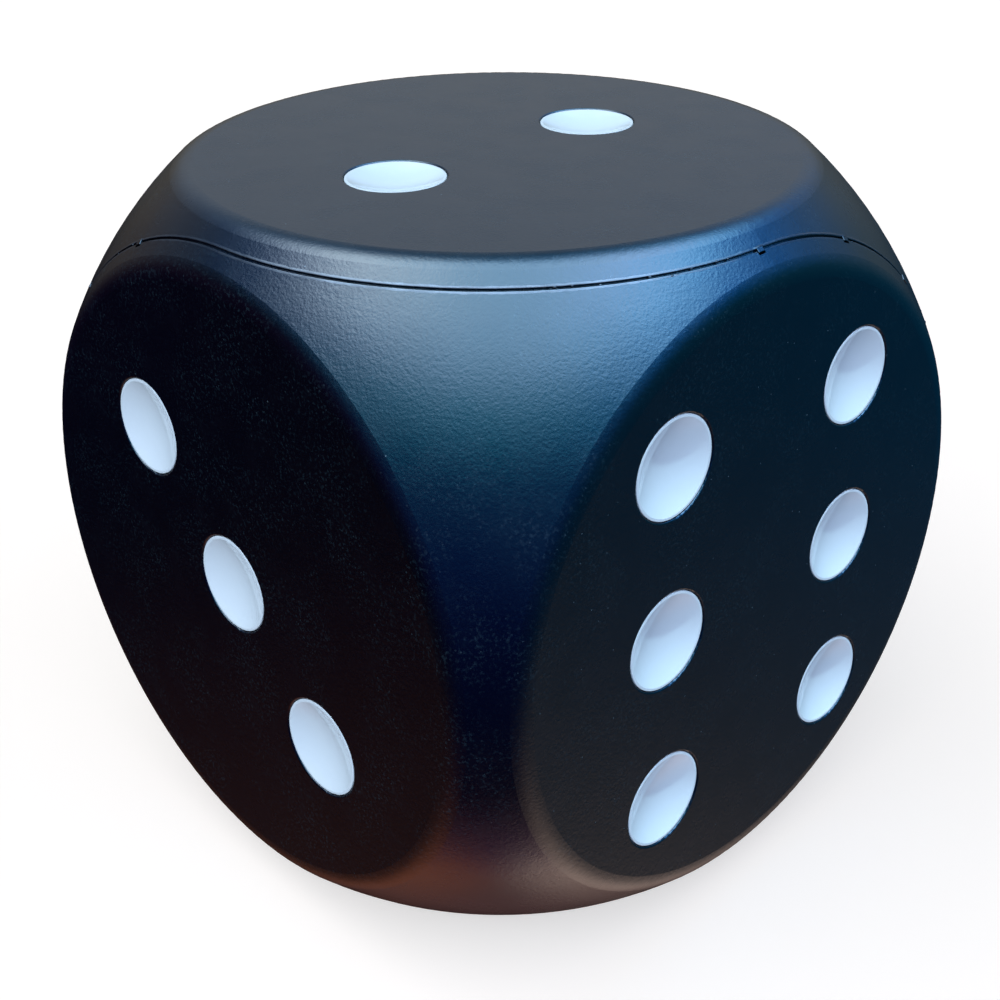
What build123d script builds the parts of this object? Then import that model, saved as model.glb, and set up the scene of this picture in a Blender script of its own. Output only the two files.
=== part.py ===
from build123d import *
import os
from math import cos, degrees, radians, sin

# Giant yard die, 12 inches across its flats: a hollow cube rounded by a sphere, moulded as two half
# shells that meet on a wavy seam, with twenty-one dished pip caps let into its six round flats.
#
# Frame: millimetres, +Z up, origin at the centre of the face that the die rests on (the five).
# Faces: two up, five down, six towards +X, one towards -X, three towards -Y, four towards +Y.
# Everything is modelled about the centre of the die, and lifted by HALF when it is written.

# The body
HALF = 152.4  # centre to a flat: 12 in across the flats
SPHERE_R = 203.2  # the sphere that rounds the cube: 16 in across
EDGE_R = 12.7  # blend between a flat and the sphere
WALL = 4.0

# The pip layout, from the centre of a face
COLUMN = 56.5  # the two's pips and the six's columns, from the centre line
ROW = 75.5  # the six's rows, from the middle row
DIAGONAL = 53.4  # the corner pips of three, four and five, along each side of the face
STRAY = (1.8, -2.4)  # how far the six's bottom left pip sits off that grid

# A pip cap: a dished disc with a skirt, and a spigot behind it
CAP_R = 21.0
CAP_SINK = 0.3  # how far its lip sits below the flat
LIP_WIDTH = 1.2
LIP_ROUND = 0.35
DISH_DEPTH = 4.2
CAP_WALL = 2.0
SPIGOT_R = 5.0
SPIGOT_LENGTH = 8.0
SPIGOT_CHAMFER = 1.0

# The pocket that holds it
CAP_CLEARANCE = 0.3  # round the lip
SPIGOT_CLEARANCE = 0.05  # the glue line in the socket
POCKET_DEPTH = 7.0
MOUTH_ROUND = 0.8
POCKET_WALL = 3.2
SOCKET_END_GAP = 0.5

# The seam. It runs on 45 degree circles about the face axes, from one edge's middle to the next.
SEAM_ANGLE = 45.0
KERF = 0.15  # the glue line between the two shells' edges
GROOVE_WIDTH = 0.9
GROOVE_DEPTH = 1.1
GROOVE_CHAMFER = 0.15  # breaks the groove's edges
LAP_LENGTH = 6.4  # how far the joining lip reaches each side of the seam
LAP_THICKNESS = 2.5
LAP_ROOT = 1.2  # how far the lip is let into the wall of its own shell
LAP_SETBACK = 0.5  # where that root stops, short of the shell's edge
OVERSHOOT = 2.0  # how far a cutter passes the surface that it cuts

# The half of the die that holds the one, the two and the four lies on this side
UPPER_SIDE = Vector(-1, 1, 1)
THREEFOLD = Axis((0, 0, 0), UPPER_SIDE)
SEAM_TURNS = (0, 120, 240)  # the seam repeats three times about UPPER_SIDE
THREE_AXIS = Axis((0, 0, 0), (0, -1, 0))  # out of the middle of the three

# The lugs on the upper shell's edge and lip, which drop into notches in the lower shell's edge
LUG_TURNS = (23.5, 46, 68.5, 91)  # where they stand, in degrees along every other arc of the seam
LUG_WIDTH = 3.4
LUG_ROOT = 1.4  # how far it starts back from the seam
LUG_REACH = 1.2
LUG_PROUD = 0.3
LUG_DEPTH = WALL + 1.0  # through the wall and down into the joining lip
LUG_ROUND = 0.25
NOTCH_REACH = 2.1
NOTCH_CLEARANCE = 0.3

FACES = {
    "one": Plane(origin=(-HALF, 0, 0), x_dir=(0, -1, 0), z_dir=(-1, 0, 0)),
    "two": Plane(origin=(0, 0, HALF), x_dir=(1, 0, 0), z_dir=(0, 0, 1)),
    "three": Plane(origin=(0, -HALF, 0), x_dir=(1, 0, 0), z_dir=(0, -1, 0)),
    "four": Plane(origin=(0, HALF, 0), x_dir=(-1, 0, 0), z_dir=(0, 1, 0)),
    "five": Plane(origin=(0, 0, -HALF), x_dir=(1, 0, 0), z_dir=(0, 0, -1)),
    "six": Plane(origin=(HALF, 0, 0), x_dir=(0, 1, 0), z_dir=(1, 0, 0)),
}

CENTRE = {"centre": (0, 0)}
FALLING = {"top_left": (-DIAGONAL, DIAGONAL), "bottom_right": (DIAGONAL, -DIAGONAL)}
RISING = {"top_right": (DIAGONAL, DIAGONAL), "bottom_left": (-DIAGONAL, -DIAGONAL)}
PIPS = {
    "one": CENTRE,
    "two": {"front": (0, -COLUMN), "back": (0, COLUMN)},
    "three": FALLING | CENTRE,
    "four": FALLING | RISING,
    "five": FALLING | RISING | CENTRE,
    "six": {
        f"{row}_{side}": (x, y)
        for row, y in (("top", ROW), ("middle", 0), ("bottom", -ROW))
        for side, x in (("left", -COLUMN), ("right", COLUMN))
    },
}
PIPS["six"]["bottom_left"] = (-COLUMN + STRAY[0], -ROW + STRAY[1])


def rounded_cube(inset):
    """The die's outline, moved in everywhere by inset."""
    side = 2 * (HALF - inset)
    cut_cube = Box(side, side, side) & Sphere(SPHERE_R - inset)
    rims = cut_cube.edges().filter_by(GeomType.CIRCLE)
    return fillet(rims, EDGE_R - inset)


def pip_planes():
    """Every pip's name, and the plane on its face that it is centred on, facing out."""
    for face, plane in FACES.items():
        for place, (x, y) in PIPS[face].items():
            yield f"pip_{face}_{place}", plane.shift_origin(plane.from_local_coords((x, y, 0)))


def turned(points):
    """A solid turned about local Z from an outline in the local XZ plane."""
    outline = Face(Wire(Polyline(*[(x, 0, z) for x, z in points], close=True)))
    return revolve(outline, Axis.Z)


def pip_cap():
    """One cap about the origin, with the face of the die at z = 0 and its spigot pointing down."""
    top = -CAP_SINK
    dish_r = CAP_R - LIP_WIDTH
    bowl_r = (dish_r**2 + DISH_DEPTH**2) / (2 * DISH_DEPTH)
    bowl_centre = top - DISH_DEPTH + bowl_r
    spigot_end = -POCKET_DEPTH - SPIGOT_LENGTH

    disc = Pos(0, 0, (top - POCKET_DEPTH) / 2) * Cylinder(CAP_R, POCKET_DEPTH + top)
    skirt_inside = CAP_R - CAP_WALL
    under = Pos(0, 0, (top - CAP_WALL - POCKET_DEPTH) / 2) * Cylinder(
        skirt_inside, POCKET_DEPTH - CAP_WALL + top
    )
    bowl = Pos(0, 0, bowl_centre) * Sphere(bowl_r)
    bowl_back = Pos(0, 0, bowl_centre) * Sphere(bowl_r + CAP_WALL)
    spigot = Pos(0, 0, spigot_end) * extrude(Circle(SPIGOT_R), SPIGOT_LENGTH + CAP_WALL)
    spigot = chamfer(spigot.edges().sort_by(Axis.Z)[0], SPIGOT_CHAMFER)

    cap = disc - (under - bowl_back) - bowl
    rim = [e for e in cap.edges().filter_by(GeomType.CIRCLE) if abs(e.center().Z - top) < 1e-6]
    cap = fillet(rim, LIP_ROUND)
    return (cap + (spigot - bowl)).solid()


def pocket():
    """What a pip cap's seat takes out of the shell: the pocket, its rounded mouth and the socket."""
    r = CAP_R + CAP_CLEARANCE
    socket_r = SPIGOT_R + SPIGOT_CLEARANCE
    socket_end = -POCKET_DEPTH - SPIGOT_LENGTH - SOCKET_END_GAP
    with BuildPart() as made:
        with BuildSketch(Plane.XZ):
            with BuildLine():
                Polyline((r, -MOUTH_ROUND), (r, -POCKET_DEPTH), (socket_r, -POCKET_DEPTH),
                         (socket_r, socket_end), (0, socket_end), (0, OVERSHOOT),
                         (r + MOUTH_ROUND, OVERSHOOT), (r + MOUTH_ROUND, 0))
                RadiusArc((r + MOUTH_ROUND, 0), (r, -MOUTH_ROUND), -MOUTH_ROUND)
            make_face()
        revolve(axis=Axis.Z)
    return made.part


def pocket_back():
    """The cup of plastic behind a pocket, and the closed tube behind its socket."""
    cup_r = CAP_R + CAP_CLEARANCE + POCKET_WALL
    tube_r = SPIGOT_R + SPIGOT_CLEARANCE + POCKET_WALL
    buried = -WALL / 4  # both start inside the wall
    cup_end = -POCKET_DEPTH - POCKET_WALL
    tube_end = -POCKET_DEPTH - SPIGOT_LENGTH - SOCKET_END_GAP - POCKET_WALL
    return turned([(0, buried), (cup_r, buried), (cup_r, cup_end), (tube_r, cup_end),
                   (tube_r, tube_end), (0, tube_end)])


def seam_ring(points):
    """A ring round the whole seam. points is its section, each one an offset along the surface from
    the seam, positive towards the lower shell, and a distance from the centre of the die."""
    corners = []
    for offset, distance in points:
        angle = radians(SEAM_ANGLE + degrees(offset / SPHERE_R))
        corners.append((0, -distance * sin(angle), distance * cos(angle)))
    section = Face(Wire(Polyline(*corners, close=True)))
    arcs = revolve(section, Axis.Z, 90), revolve(section, THREE_AXIS, 90)
    return [arc.rotate(THREEFOLD, turn) for turn in SEAM_TURNS for arc in arcs]


def seam_cut():
    """The groove that shows outside, and the kerf that parts the shells behind it."""
    outside = SPHERE_R + OVERSHOOT
    groove_floor = SPHERE_R - GROOVE_DEPTH
    inside = SPHERE_R - WALL - OVERSHOOT
    g, k = GROOVE_WIDTH / 2, KERF / 2
    chamfer_start = SPHERE_R - GROOVE_CHAMFER
    mouth = g + outside - chamfer_start
    return seam_ring([(-mouth, outside), (-g, chamfer_start), (-g, groove_floor), (-k, groove_floor),
                      (-k, inside), (k, inside), (k, groove_floor), (g, groove_floor),
                      (g, chamfer_start), (mouth, outside)])


def joining_lip():
    """The lip inside the upper shell's edge, which the lower shell's edge lies on."""
    face = SPHERE_R - WALL
    root = face + LAP_ROOT
    back = face - LAP_THICKNESS
    step = -LAP_SETBACK - KERF / 2
    return seam_ring([(-LAP_LENGTH, back), (-LAP_LENGTH, root), (step, root), (step, face),
                      (LAP_LENGTH, face), (LAP_LENGTH, back)])


def lug(margin, reach, top):
    """A lug about the origin, with the lower shell towards -Y. margin makes a notch round it."""
    middle = Pos(0, (LUG_ROOT - reach) / 2, (top - LUG_DEPTH - margin) / 2)
    return middle * Box(LUG_WIDTH + 2 * margin, LUG_ROOT + reach, LUG_DEPTH + margin + top)


def at_lugs(block):
    """A copy of the block at every lug along the seam."""
    outward = Vector(0, -1, 1).normalized()
    start = Plane(origin=outward * SPHERE_R, x_dir=(1, 0, 0), z_dir=outward)
    first_arc = [(start.location * block).rotate(THREE_AXIS, turn) for turn in LUG_TURNS]
    return [copy.rotate(THREEFOLD, turn) for turn in SEAM_TURNS for copy in first_arc]


def half_shells(planes):
    """The upper and the lower half shell, with a seat for a pip cap on each plane."""
    skin = rounded_cube(0) - rounded_cube(WALL)
    back, seat = pocket_back(), pocket()
    skin += [plane.location * back for plane in planes]
    skin -= [plane.location * seat for plane in planes]
    skin -= seam_cut()
    lower, upper = sorted(skin.solids(), key=lambda s: s.center().dot(UPPER_SIDE))
    block = lug(0, LUG_REACH, LUG_PROUD)
    lugs = at_lugs(fillet(block.edges().group_by(Axis.Z)[-1], LUG_ROUND))
    notches = at_lugs(lug(NOTCH_CLEARANCE, NOTCH_REACH, OVERSHOOT))
    lipped = upper + joining_lip()
    return (lipped + lugs).solid(), (lower - notches).solid()


def main():
    os.makedirs("parts", exist_ok=True)
    planes = dict(pip_planes())
    upper, lower = half_shells(planes.values())
    parts = {"upper_half_shell": upper, "lower_half_shell": lower}
    cap = pip_cap()
    for name, plane in planes.items():
        parts[name] = plane.location * cap
    for name, part in parts.items():
        export_step(part.moved(Location((0, 0, HALF))), f"parts/{name}.step")


main()
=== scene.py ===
import math
import random

import bmesh
import bpy
from mathutils import Matrix, Vector, noise
from mathutils.bvhtree import BVHTree


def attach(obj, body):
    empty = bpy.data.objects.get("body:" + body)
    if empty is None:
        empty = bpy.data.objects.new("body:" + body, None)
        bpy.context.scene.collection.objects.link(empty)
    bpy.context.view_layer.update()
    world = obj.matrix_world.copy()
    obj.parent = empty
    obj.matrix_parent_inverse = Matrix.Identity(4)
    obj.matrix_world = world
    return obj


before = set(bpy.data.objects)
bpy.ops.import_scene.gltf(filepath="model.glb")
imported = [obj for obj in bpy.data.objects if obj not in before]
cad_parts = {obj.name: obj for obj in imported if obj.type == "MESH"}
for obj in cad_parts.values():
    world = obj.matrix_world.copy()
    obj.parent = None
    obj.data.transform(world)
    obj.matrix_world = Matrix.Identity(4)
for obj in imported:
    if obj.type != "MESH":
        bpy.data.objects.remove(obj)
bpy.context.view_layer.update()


# The die: a hollow black cube with spherical corners, white dished pips and a zigzag seam.
# Lengths are in metres and angles in degrees, unless a line says otherwise.
HALF = 0.1524
SPHERE_R = 0.2032
CENTRE = Vector((0.0, 0.0, HALF))
SHELLS = ("upper_half_shell", "lower_half_shell")
MM = 0.001

# Camera.
CAMERA_AT = Vector((0.46942, -0.44522, 0.34410)) + CENTRE
AIM_AT = Vector((-0.00081, -0.00086, 0.03198)) + CENTRE
CAMERA_ROLL = -0.724
LENS = 55.93
SHIFT_X = 0.0034
SHIFT_Y = -0.1001

# Studio floor and its curved wall.
FLOOR_R = 6.0
COVE_R = 4.0
WALL_TOP = 12.0
COVE_STEPS = 12
COVE_TURNS = 72


# ---------------------------------------------------------------- materials

# Half-width of the flat-shaded disc at the middle of a dish, as a share of the cap's width.
DISH_MIDDLE = 0.037


class Shader:
    """A small helper that adds and links the nodes of one material."""

    def __init__(self, name):
        self.material = bpy.data.materials.new(name)
        self.material.use_nodes = True
        self.tree = self.material.node_tree
        self.surface = self.tree.nodes["Principled BSDF"]
        self.place = self.add("ShaderNodeTexCoord").outputs["Object"]

    def add(self, kind, **settings):
        node = self.tree.nodes.new(kind)
        for key, value in settings.items():
            setattr(node, key, value)
        return node

    def join(self, source, target):
        self.tree.links.new(source, target)

    def noise(self, scale, detail=2.0, roughness=0.5):
        node = self.add("ShaderNodeTexNoise")
        node.inputs["Scale"].default_value = scale
        node.inputs["Detail"].default_value = detail
        node.inputs["Roughness"].default_value = roughness
        self.join(self.place, node.inputs["Vector"])
        return node.outputs["Fac"]

    def remap(self, value, low, high, out_low, out_high):
        node = self.add("ShaderNodeMapRange")
        node.inputs["From Min"].default_value = low
        node.inputs["From Max"].default_value = high
        node.inputs["To Min"].default_value = out_low
        node.inputs["To Max"].default_value = out_high
        self.join(value, node.inputs["Value"])
        return node.outputs["Result"]

    def blend(self, factor, first, second):
        node = self.add("ShaderNodeMix", data_type="RGBA")
        node.inputs["A"].default_value = (*first, 1.0)
        node.inputs["B"].default_value = (*second, 1.0)
        self.join(factor, node.inputs["Factor"])
        return node.outputs["Result"]

    def specks(self, scale, size, rare):
        """Round dots, in the cells of a random pattern whose number is above the given one."""
        cells = self.add("ShaderNodeTexVoronoi")
        cells.inputs["Scale"].default_value = scale
        self.join(self.place, cells.inputs["Vector"])
        dot = self.remap(cells.outputs["Distance"], size, 0.6 * size, 0.0, 1.0)
        pick = self.add("ShaderNodeSeparateColor")
        self.join(cells.outputs["Color"], pick.inputs["Color"])
        chosen = self.remap(pick.outputs["Red"], rare, rare + 0.04, 0.0, 1.0)
        return self.times(dot, chosen)

    def pair(self, operation, first, second):
        both = self.add("ShaderNodeMath", operation=operation)
        self.join(first, both.inputs[0])
        self.join(second, both.inputs[1])
        return both.outputs["Value"]

    def times(self, first, second):
        return self.pair("MULTIPLY", first, second)

    def most(self, first, second):
        return self.pair("MAXIMUM", first, second)

    def dish_middle(self):
        """1 in the small disc at the middle of a pip cap's dish, and 0 elsewhere."""
        split = self.add("ShaderNodeSeparateXYZ")
        self.join(self.add("ShaderNodeTexCoord").outputs["Generated"], split.inputs["Vector"])
        x, y, z = [self.near_half(split.outputs[axis]) for axis in "XYZ"]
        first = self.most(self.times(x, y), self.times(y, z))
        return self.most(first, self.times(z, x))

    def near_half(self, value):
        """1 where a share of the piece's box is close to its middle."""
        test = self.add("ShaderNodeMath", operation="COMPARE")
        test.inputs[1].default_value = 0.5
        test.inputs[2].default_value = DISH_MIDDLE
        self.join(value, test.inputs[0])
        return test.outputs["Value"]

    def flat_in(self, disc):
        """The smooth surface direction, but the flat one inside the disc."""
        shape = self.add("ShaderNodeNewGeometry")
        node = self.add("ShaderNodeMix", data_type="VECTOR")
        self.join(disc, node.inputs["Factor"])
        self.join(shape.outputs["Normal"], node.inputs["A"])
        self.join(shape.outputs["True Normal"], node.inputs["B"])
        return node.outputs["Result"]

    def cover(self, factor, under, colour):
        """A colour laid over another where the factor is high."""
        node = self.add("ShaderNodeMix", data_type="RGBA")
        self.join(under, node.inputs["A"])
        node.inputs["B"].default_value = (*colour, 1.0)
        self.join(factor, node.inputs["Factor"])
        return node.outputs["Result"]

    def bump(self, height, depth, normal=None):
        node = self.add("ShaderNodeBump")
        node.inputs["Distance"].default_value = depth
        node.inputs["Strength"].default_value = 1.0
        self.join(height, node.inputs["Height"])
        if normal is not None:
            self.join(normal, node.inputs["Normal"])
        return node.outputs["Normal"]


def black_plastic():
    """Fine-grained black moulded plastic with faint haze in drifts, fine pits and sparse dust."""
    make = Shader("black_plastic")
    surface = make.surface
    cloud = make.noise(22.0, 3.0)
    plain = make.blend(cloud, (0.0002, 0.0006, 0.0016), (0.0006, 0.0014, 0.0030))
    drift = make.remap(make.noise(34.0, 3.0), 0.40, 0.62, 0.15, 1.0)
    haze = make.times(make.remap(make.noise(760.0, 2.0), 0.54, 0.74, 0.0, 1.0), drift)
    hazy = make.cover(haze, plain, (0.008, 0.017, 0.022))
    pits = make.times(make.specks(620.0, 0.24, 0.86), drift)
    pitted = make.cover(pits, hazy, (0.022, 0.036, 0.044))
    dusty = make.cover(make.specks(190.0, 0.07, 0.95), pitted, (0.10, 0.14, 0.16))
    make.join(dusty, surface.inputs["Base Color"])
    shine = make.remap(make.noise(60.0, 4.0), 0.3, 0.7, 0.24, 0.29)
    make.join(shine, surface.inputs["Roughness"])
    surface.inputs["Specular IOR Level"].default_value = 0.69
    grain = make.bump(make.noise(1000.0, 3.0), 0.00007)
    coarse = make.bump(make.noise(520.0, 2.0), 0.00006, grain)
    make.join(coarse, surface.inputs["Normal"])
    return make.material


def lip_highlight_plastic():
    """Black plastic painted pale in patches along the seam's lips, strongest near the front: a
    painted highlight.
    """
    make = Shader("lip_highlight_plastic")
    surface = make.surface
    highlight_share = make.add("ShaderNodeAttribute", attribute_name="lip_highlight").outputs["Fac"]
    highlight_patch = make.times(make.remap(make.noise(70.0, 3.0), 0.38, 0.58, 0.45, 1.0), highlight_share)
    # The pale colour stands in for the light caught on the lips: painted highlight.
    highlighted = make.blend(highlight_patch, (0.008, 0.010, 0.014), (0.30, 0.33, 0.38))
    make.join(highlighted, surface.inputs["Base Color"])
    make.join(make.remap(highlight_patch, 0.0, 1.0, 0.26, 0.42), surface.inputs["Roughness"])
    make.join(make.bump(make.noise(700.0, 3.0), 0.00008), surface.inputs["Normal"])
    return make.material


def white_plastic():
    """Glossy white moulded plastic with a faint orange-peel ripple."""
    make = Shader("white_plastic")
    surface = make.surface
    clouded = make.blend(make.noise(35.0, 3.0), (0.78, 0.81, 0.85), (0.84, 0.86, 0.89))
    make.join(clouded, surface.inputs["Base Color"])
    make.join(make.remap(make.noise(90.0, 3.0), 0.3, 0.7, 0.06, 0.12), surface.inputs["Roughness"])
    smooth = make.flat_in(make.dish_middle())
    make.join(make.bump(make.noise(160.0, 2.0), 0.00006, smooth), surface.inputs["Normal"])
    return make.material


def studio_floor():
    """Plain pale backdrop with a faint mottle."""
    make = Shader("studio_floor")
    surface = make.surface
    pale = make.blend(make.noise(3.0, 3.0), (0.73, 0.54, 0.44), (0.77, 0.57, 0.46))
    make.join(pale, surface.inputs["Base Color"])
    surface.inputs["Roughness"].default_value = 0.9
    surface.inputs["Specular IOR Level"].default_value = 0.0
    surface.inputs["Emission Color"].default_value = (1.0, 1.0, 1.0, 1.0)
    surface.inputs["Emission Strength"].default_value = 0.57
    return make.material


BLACK = black_plastic()
LIP_HIGHLIGHT_PLASTIC = lip_highlight_plastic()
WHITE = white_plastic()


def dress(node, material):
    """Gives a CAD node one material."""
    mesh = node.data
    mesh.materials.clear()
    mesh.materials.append(material)


for name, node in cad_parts.items():
    dress(node, BLACK if name in SHELLS else WHITE)


# ---------------------------------------------------------------- seam

X = Vector((1, 0, 0))
Y = Vector((0, 1, 0))
Z = Vector((0, 0, 1))
SEED = 41

# The seam's six arcs: the face axis it circles, where it starts and where it ends, and
# 1 or -1 as the upper shell lies on the face's side of it or not.
ARCS = (
    (-Y, -X, Z, -1),
    (Z, -Y, X, 1),
    (X, Z, Y, -1),
    (Y, X, -Z, 1),
    (-Z, Y, -X, -1),
    (-X, -Z, -Y, 1),
)
SEAM_END = 540.0
SEAM_TILT = 45.0
LUG_ANGLES = (-1.0, 21.5, 44.0, 66.5)
LUG_GAP = 0.95
UPPER_GAP = 0.9

# Flash beside the groove. Its section is given as shares of its width and its height.
FLASH_STEP = 0.35
FLASH_START = 0.00062
START_WANDER = 0.00005
FLASH_WIDTH = 0.00105
WIDTH_WANDER = 0.25
FLASH_SINK = 0.00001
FLASH_ROOT = 0.00008
SKIN_REACH = 0.0004
FLASH_SECTION = (
    (0.0, 0.0), (0.06, 0.55), (0.16, 0.92), (0.28, 1.0),
    (0.45, 0.80), (0.65, 0.45), (0.85, 0.15), (1.0, 0.0),
)

# Where the flash stands higher: middle along the seam, reach to each side and height in mm.
UPPER_SWELLS = ((95.0, 14.0, 0.12), (135.0, 28.0, 0.18), (192.0, 16.0, 0.14))
LOWER_SWELLS = ((134.0, 26.0, 0.05),)

# Trimmed lumps: angle along the seam, offset towards the upper shell and size, both in mm.
BURR_COUNT = 40
BURR_SINK = 0.0001
BURRS = (
    (144.5, 0.55, 0.50), (147.0, 0.50, 0.40), (151.0, -0.2, 0.35), (158.6, 0.3, 0.45),
    (162.0, -0.9, 0.50), (162.9, -0.7, 0.35), (165.5, 0.4, 0.35), (170.2, 0.6, 0.60),
    (172.3, 0.5, 0.50), (178.0, -0.8, 0.45), (64.0, 0.2, 0.50), (58.5, -0.2, 0.40),
    (247.0, -0.3, 1.3), (203.6, -0.8, 0.45), (118.0, -0.7, 0.3),
)


def on_seam(along, offset, lift):
    """A point by its angle along the seam, its offset towards the upper shell and its height."""
    axis, start, end, side = ARCS[int(along // 90.0) % 6]
    turn = math.radians(along % 90.0)
    tilt = math.radians(SEAM_TILT) - side * offset / SPHERE_R
    spoke = start * math.cos(turn) + end * math.sin(turn)
    return CENTRE + (axis * math.cos(tilt) + spoke * math.sin(tilt)) * (SPHERE_R + lift)


def outer_skin(names):
    """A search tree of the surface of some CAD nodes."""
    corners = []
    faces = []
    for name in names:
        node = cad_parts[name]
        first = len(corners)
        corners.extend(node.matrix_world @ v.co for v in node.data.vertices)
        faces.extend([first + i for i in p.vertices] for p in node.data.polygons)
    return BVHTree.FromPolygons(corners, faces)


SKIN = outer_skin(SHELLS)


def on_skin(along, offset, lift):
    """A point above the shells' surface, by its place along the seam."""
    point = on_seam(along, offset, 0.0)
    out = (point - CENTRE).normalized()
    hit = SKIN.ray_cast(point + out * SKIN_REACH, -out, 2.0 * SKIN_REACH)[0]
    return (hit or point) + out * lift


def hump(value, middle, reach):
    """1 at the middle, falling smoothly to 0 at the reach."""
    t = min(1.0, abs(value - middle) / reach)
    return 0.5 + 0.5 * math.cos(math.pi * t)


def swells(along, table):
    """Sum of the humps of a table at one place along the seam, in mm."""
    return sum(height * hump(along, middle, reach) for middle, reach, height in table)


def wander(value, seed):
    """Smooth random value between about -1 and 1."""
    return noise.noise(Vector((value, 7.3 * seed, 1.7 * seed)))


def upper_height(along):
    """Height of the flash on the upper shell's edge."""
    rough = 0.05 * wander(0.55 * along, 1) + 0.04 * wander(2.4 * along, 2)
    slow = 0.10 * max(0.0, wander(0.05 * along, 3))
    return MM * max(0.03, 0.06 + swells(along, UPPER_SWELLS) + slow + rough)


def lower_height(along):
    """Height of the flash on the lower shell's edge."""
    rough = 0.02 * wander(0.6 * along, 4) + 0.02 * wander(2.1 * along, 5)
    slow = 0.08 * max(0.0, wander(0.06 * along, 6))
    return MM * max(0.02, 0.035 + swells(along, LOWER_SWELLS) + slow + rough)


def lip_highlight(along):
    """How strongly the lips are painted pale as a highlight, from 0 to 1."""
    return 0.05 + 0.95 * min(1.0, 1.6 * hump(along, 135.0, 48.0))


def runs_between_lugs():
    """The stretches of seam that the lugs leave, as start and end angles."""
    stops = [180.0 * third + angle for third in range(3) for angle in LUG_ANGLES]
    ends = stops[1:] + [SEAM_END + LUG_ANGLES[0]]
    return [(a + LUG_GAP, b - LUG_GAP) for a, b in zip(stops, ends)]


def flash_ring(bm, layer, along, side, top):
    """One cross-section of the flash, closed by a root inside the shell."""
    inner = FLASH_START + START_WANDER * wander(1.3 * along, 8)
    width = FLASH_WIDTH * (1.0 + WIDTH_WANDER * wander(0.9 * along, 9))
    places = [(inner + across * width, top * rise - FLASH_SINK) for across, rise in FLASH_SECTION]
    places += [(inner + width, -FLASH_ROOT), (inner, -FLASH_ROOT)]
    ring = [bm.verts.new(on_skin(along, side * offset, lift)) for offset, lift in places]
    # Each section carries its share of the lips' painted highlight.
    for vert in ring:
        vert[layer] = lip_highlight(along)
    return ring


def close_run(bm, rings):
    """Joins the cross-sections of one run into a closed ridge. Its hidden root is flat shaded."""
    for one, two in zip(rings, rings[1:]):
        for j in range(len(one)):
            k = (j + 1) % len(one)
            face = bm.faces.new((one[j], one[k], two[k], two[j]))
            face.smooth = j < len(FLASH_SECTION) - 1
    bm.faces.new(rings[0][::-1])
    bm.faces.new(rings[-1])


def flash(name, side, height, runs):
    """A low, uneven ridge of moulding flash along one edge of the seam's groove."""
    bm = bmesh.new()
    layer = bm.verts.layers.float.new("lip_highlight")
    for first, last in runs:
        steps = max(4, int((last - first) / FLASH_STEP))
        rings = []
        for i in range(steps + 1):
            along = first + (last - first) * i / steps
            taper = min(1.0, 4.0 * i / steps + 0.05, 4.0 * (steps - i) / steps + 0.05)
            rings.append(flash_ring(bm, layer, along, side, height(along) * taper))
        close_run(bm, rings)
    bmesh.ops.recalc_face_normals(bm, faces=bm.faces)
    make_piece(name, bm)


def make_piece(name, bm):
    """Turns a bmesh into a piece of the die."""
    mesh = bpy.data.meshes.new(name)
    bm.to_mesh(mesh)
    bm.free()
    # Seam pieces get the plastic with the lips' painted highlight.
    mesh.materials.append(LIP_HIGHLIGHT_PLASTIC)
    piece = bpy.data.objects.new(name, mesh)
    bpy.context.scene.collection.objects.link(piece)
    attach(piece, "root")


def burr_places(draw):
    """The burrs along the front, then random ones along the rest of the seam."""
    places = list(BURRS)
    while len(places) < BURR_COUNT:
        along = draw.uniform(182.0, 538.0)
        offset = draw.choice((-0.5, -0.3, 0.3, 0.6))
        places.append((along, offset, draw.uniform(0.35, 0.7)))
    return places


def burr(bm, layer, place, shift):
    """One uneven lump, sunk a little into the seam's lip."""
    along, offset, size = place
    here = on_seam(along, MM * offset, -BURR_SINK)
    out = (here - CENTRE).normalized()
    ahead = (on_seam(along + 0.1, MM * offset, -BURR_SINK) - here).normalized()
    across = out.cross(ahead)
    for v in bmesh.ops.create_icosphere(bm, subdivisions=2, radius=1.0)["verts"]:
        swell = 1.0 + 0.35 * noise.noise(v.co * 1.6 + Vector((shift, 0, 0)))
        spread = ahead * v.co.x * 1.3 + across * v.co.y * 0.8 + out * v.co.z * 0.6
        v.co = here + MM * size * swell * spread
        # Burrs carry a weaker share of the lips' painted highlight.
        v[layer] = 0.4 * lip_highlight(along)


def burrs(name):
    """Small lumps of plastic left where the seam was trimmed."""
    draw = random.Random(SEED)
    bm = bmesh.new()
    layer = bm.verts.layers.float.new("lip_highlight")
    for place in burr_places(draw):
        burr(bm, layer, place, draw.uniform(0.0, 50.0))
    for face in bm.faces:
        face.smooth = True
    make_piece(name, bm)


flash("upper_seam_flash", 1.0, upper_height, [(UPPER_GAP, SEAM_END - UPPER_GAP)])
flash("lower_seam_flash", -1.0, lower_height, runs_between_lugs())
burrs("seam_burrs")


# ---------------------------------------------------------------- stage

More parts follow.
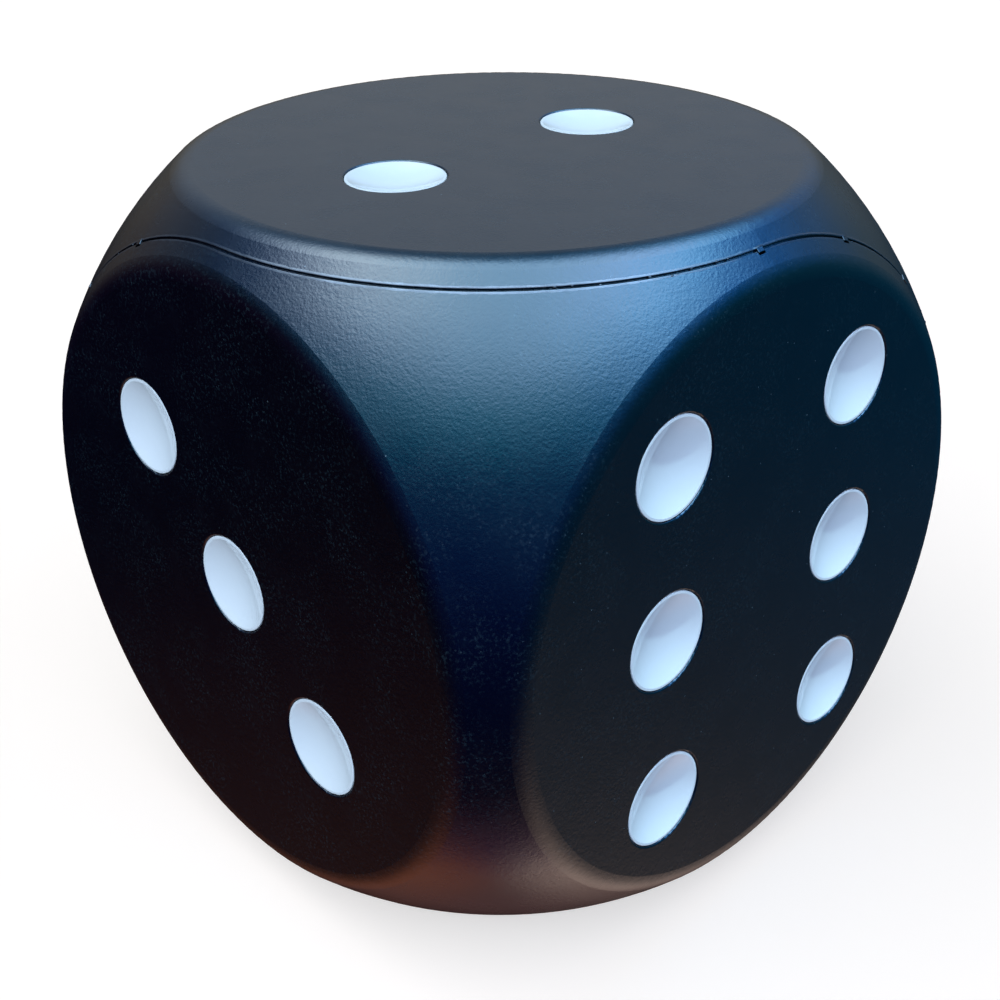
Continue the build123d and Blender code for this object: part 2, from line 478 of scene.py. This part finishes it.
# Colour of the sky on four sides, by height above the horizon in degrees.
SKY_TOP = 16.0
ZENITH = (3.2, 5.9, 8.8)
SKY = {
    -135: (
        (-90, (0.24, 0.12, 0.12)), (-50, (0, 0, 0)), (-15, (0, 0, 0)),
        (5, (0.28, 0.26, 0.20)), (24, (0.52, 0.64, 0.84)), (38, (0.14, 0.30, 0.50)),
        (62, (0, 0.36, 0.90)), (76, (0.9, 2.3, 4.0)), (90, ZENITH),
    ),
    -45: (
        (-90, (0.80, 0.26, 0.14)), (-48, (0.13, 0.05, 0.03)), (-30, (0, 0, 0.01)),
        (5, (0.03, 0, 0.04)), (25, (0, 0.03, 0.1)), (42, (0, 0.20, 0.82)),
        (48, (1.50, 2.20, 3.50)), (56, (5.20, 6.80, 8.80)), (64, (8.00, 10.1, 11.8)),
        (80, (4.2, 6.8, 9.4)), (90, ZENITH),
    ),
    45: (
        (-90, (0.16, 0.06, 0.20)), (-62, (0, 0, 0.02)), (-15, (0, 0, 0.16)),
        (5, (0, 0.05, 0.44)), (25, (0, 0.17, 0.66)), (40, (0, 1.55, 2.60)),
        (50, (2.45, 4.35, 6.85)), (60, (2.60, 5.20, 7.87)), (90, ZENITH),
    ),
    135: (
        (-90, (1.80, 1.30, 1.10)), (-42, (0.10, 0.11, 0.12)), (-25, (0, 0.08, 0.20)),
        (5, (0, 0.20, 0.38)), (25, (0, 0.40, 1.25)), (40, (0, 0.91, 3.94)),
        (50, (2.30, 7.43, 13.6)), (60, (4.30, 7.60, 13.4)), (90, ZENITH),
    ),
}


def backdrop():
    """A wide floor that curves up into a wall all round, seen by the camera only."""
    profile = [(0.0, 0.0), (FLOOR_R, 0.0)]
    for step in range(1, COVE_STEPS + 1):
        angle = 0.5 * math.pi * step / COVE_STEPS
        profile.append((FLOOR_R + COVE_R * math.sin(angle), COVE_R * (1.0 - math.cos(angle))))
    profile.append((FLOOR_R + COVE_R, WALL_TOP))
    bm = bmesh.new()
    verts = [bm.verts.new((r, 0.0, z)) for r, z in profile]
    edges = [bm.edges.new(pair) for pair in zip(verts, verts[1:])]
    bmesh.ops.spin(bm, geom=verts + edges, cent=(0, 0, 0), axis=(0, 0, 1),
                   angle=2 * math.pi, steps=COVE_TURNS, use_duplicate=False)
    bmesh.ops.remove_doubles(bm, verts=bm.verts, dist=1e-5)
    bmesh.ops.recalc_face_normals(bm, faces=bm.faces)
    for face in bm.faces:
        face.smooth = True
    mesh = bpy.data.meshes.new("studio_floor")
    bm.to_mesh(mesh)
    bm.free()
    floor = bpy.data.objects.new("studio_floor", mesh)
    bpy.context.scene.collection.objects.link(floor)
    mesh.materials.append(studio_floor())
    floor.visible_glossy = False
    floor.visible_diffuse = False
    floor.visible_shadow = False


def direction(azimuth, elevation):
    """Unit vector from the die towards a compass angle and height, in degrees."""
    a = math.radians(azimuth)
    e = math.radians(elevation)
    return Vector((math.sin(a) * math.cos(e), -math.cos(a) * math.cos(e), math.sin(e)))


def soft_light(name, azimuth, elevation, spread, strength, colour):
    """A broad soft light from one direction, which doesn't show in the gloss."""
    data = bpy.data.lights.new(name, "SUN")
    data.angle = math.radians(spread)
    data.energy = strength
    data.color = colour
    lamp = bpy.data.objects.new(name, data)
    bpy.context.scene.collection.objects.link(lamp)
    lamp.rotation_euler = direction(azimuth, elevation).to_track_quat("Z", "Y").to_euler()
    lamp.visible_glossy = False
    return lamp


def only_on(lamp, start):
    """Limits a lamp to the CAD nodes whose names start this way."""
    group = bpy.data.collections.new(lamp.name + "_receivers")
    for name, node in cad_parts.items():
        if name.startswith(start):
            group.objects.link(node)
    lamp.light_linking.receiver_collection = group


def add_node(tree, kind, **settings):
    node = tree.nodes.new(kind)
    for key, value in settings.items():
        setattr(node, key, value)
    return node


def sky_height(tree, place):
    """The height of a direction, from 0 straight down to 1 straight up."""
    split = add_node(tree, "ShaderNodeSeparateXYZ")
    tree.links.new(place, split.inputs["Vector"])
    height = add_node(tree, "ShaderNodeMapRange")
    height.inputs["From Min"].default_value = -1.0
    height.inputs["From Max"].default_value = 1.0
    tree.links.new(split.outputs["Z"], height.inputs["Value"])
    return height.outputs["Result"]


def sky_compass(tree, place):
    """The level part of a direction, as a unit vector."""
    level = add_node(tree, "ShaderNodeVectorMath", operation="MULTIPLY")
    level.inputs[1].default_value = (1.0, 1.0, 0.0)
    tree.links.new(place, level.inputs[0])
    unit = add_node(tree, "ShaderNodeVectorMath", operation="NORMALIZE")
    tree.links.new(level.outputs["Vector"], unit.inputs[0])
    return unit.outputs["Vector"]


def sky_ramp(tree, height, stops):
    """Colour of one side of the sky by height."""
    ramp = add_node(tree, "ShaderNodeValToRGB")
    marks = ramp.color_ramp.elements
    while len(marks) < len(stops):
        marks.new(0.5)
    for mark, (angle, colour) in zip(marks, stops):
        mark.position = 0.5 + 0.5 * math.sin(math.radians(angle))
        mark.color = (*[c / SKY_TOP for c in colour], 1.0)
    tree.links.new(height, ramp.inputs["Fac"])
    return ramp.outputs["Color"]


def sky_share(tree, compass, side):
    """The share of one side of the sky at a compass direction."""
    along = add_node(tree, "ShaderNodeVectorMath", operation="DOT_PRODUCT")
    along.inputs[1].default_value = direction(side, 0.0)
    tree.links.new(compass, along.inputs[0])
    front = add_node(tree, "ShaderNodeMath", operation="MAXIMUM")
    front.inputs[1].default_value = 0.0
    tree.links.new(along.outputs["Value"], front.inputs[0])
    share = add_node(tree, "ShaderNodeMath", operation="POWER")
    share.inputs[1].default_value = 2.0
    tree.links.new(front.outputs["Value"], share.inputs[0])
    return share.outputs["Value"]


def sky_sum(tree, parts):
    """Adds the colours of the sides."""
    total = parts[0]
    for part in parts[1:]:
        both = add_node(tree, "ShaderNodeVectorMath", operation="ADD")
        tree.links.new(total, both.inputs[0])
        tree.links.new(part, both.inputs[1])
        total = both.outputs["Vector"]
    return total


def world_light():
    """A soft sky that only the gloss sees: bright overhead and dark from the horizon down."""
    world = bpy.data.worlds.new("studio")
    bpy.context.scene.world = world
    world.use_nodes = True
    tree = world.node_tree
    tree.nodes.clear()
    place = add_node(tree, "ShaderNodeTexCoord").outputs["Generated"]
    height = sky_height(tree, place)
    compass = sky_compass(tree, place)
    parts = []
    for side, stops in SKY.items():
        part = add_node(tree, "ShaderNodeVectorMath", operation="SCALE")
        tree.links.new(sky_ramp(tree, height, stops), part.inputs[0])
        tree.links.new(sky_share(tree, compass, side), part.inputs["Scale"])
        parts.append(part.outputs["Vector"])
    glow = add_node(tree, "ShaderNodeBackground")
    glow.inputs["Strength"].default_value = SKY_TOP
    tree.links.new(sky_sum(tree, parts), glow.inputs["Color"])
    out = add_node(tree, "ShaderNodeOutputWorld")
    tree.links.new(glow.outputs["Background"], out.inputs["Surface"])
    world.cycles_visibility.diffuse = False


backdrop()
world_light()
soft_light("overhead", 60.0, 88.0, 110.0, 0.6, (0.62, 0.92, 1.02))
soft_light("left_fill", -6.0, 34.0, 110.0, 2.85, (0.72, 0.90, 1.08))
soft_light("right_fill", 88.0, 24.0, 110.0, 1.5, (0.66, 0.88, 1.30))
only_on(soft_light("key", 138.0, 72.0, 1.6, 2.4, (0.58, 0.95, 1.05)), "pip_six")
only_on(soft_light("top_fill", 60.0, 80.0, 30.0, 0.8, (0.66, 0.95, 1.05)), "pip_two")


def camera():
    """Camera looking a little down at the edge between the three and six faces."""
    data = bpy.data.cameras.new("camera")
    data.sensor_width = 36.0
    data.lens = LENS
    data.shift_x = SHIFT_X
    data.shift_y = SHIFT_Y
    data.dof.use_dof = False
    eye = bpy.data.objects.new("camera", data)
    bpy.context.scene.collection.objects.link(eye)
    look = (AIM_AT - CAMERA_AT).to_track_quat("-Z", "Y").to_matrix()
    roll = Matrix.Rotation(math.radians(CAMERA_ROLL), 3, "Z")
    eye.matrix_world = Matrix.Translation(CAMERA_AT) @ (look @ roll).to_4x4()
    bpy.context.scene.camera = eye


camera()
bpy.context.scene.view_settings.view_transform = "Standard"
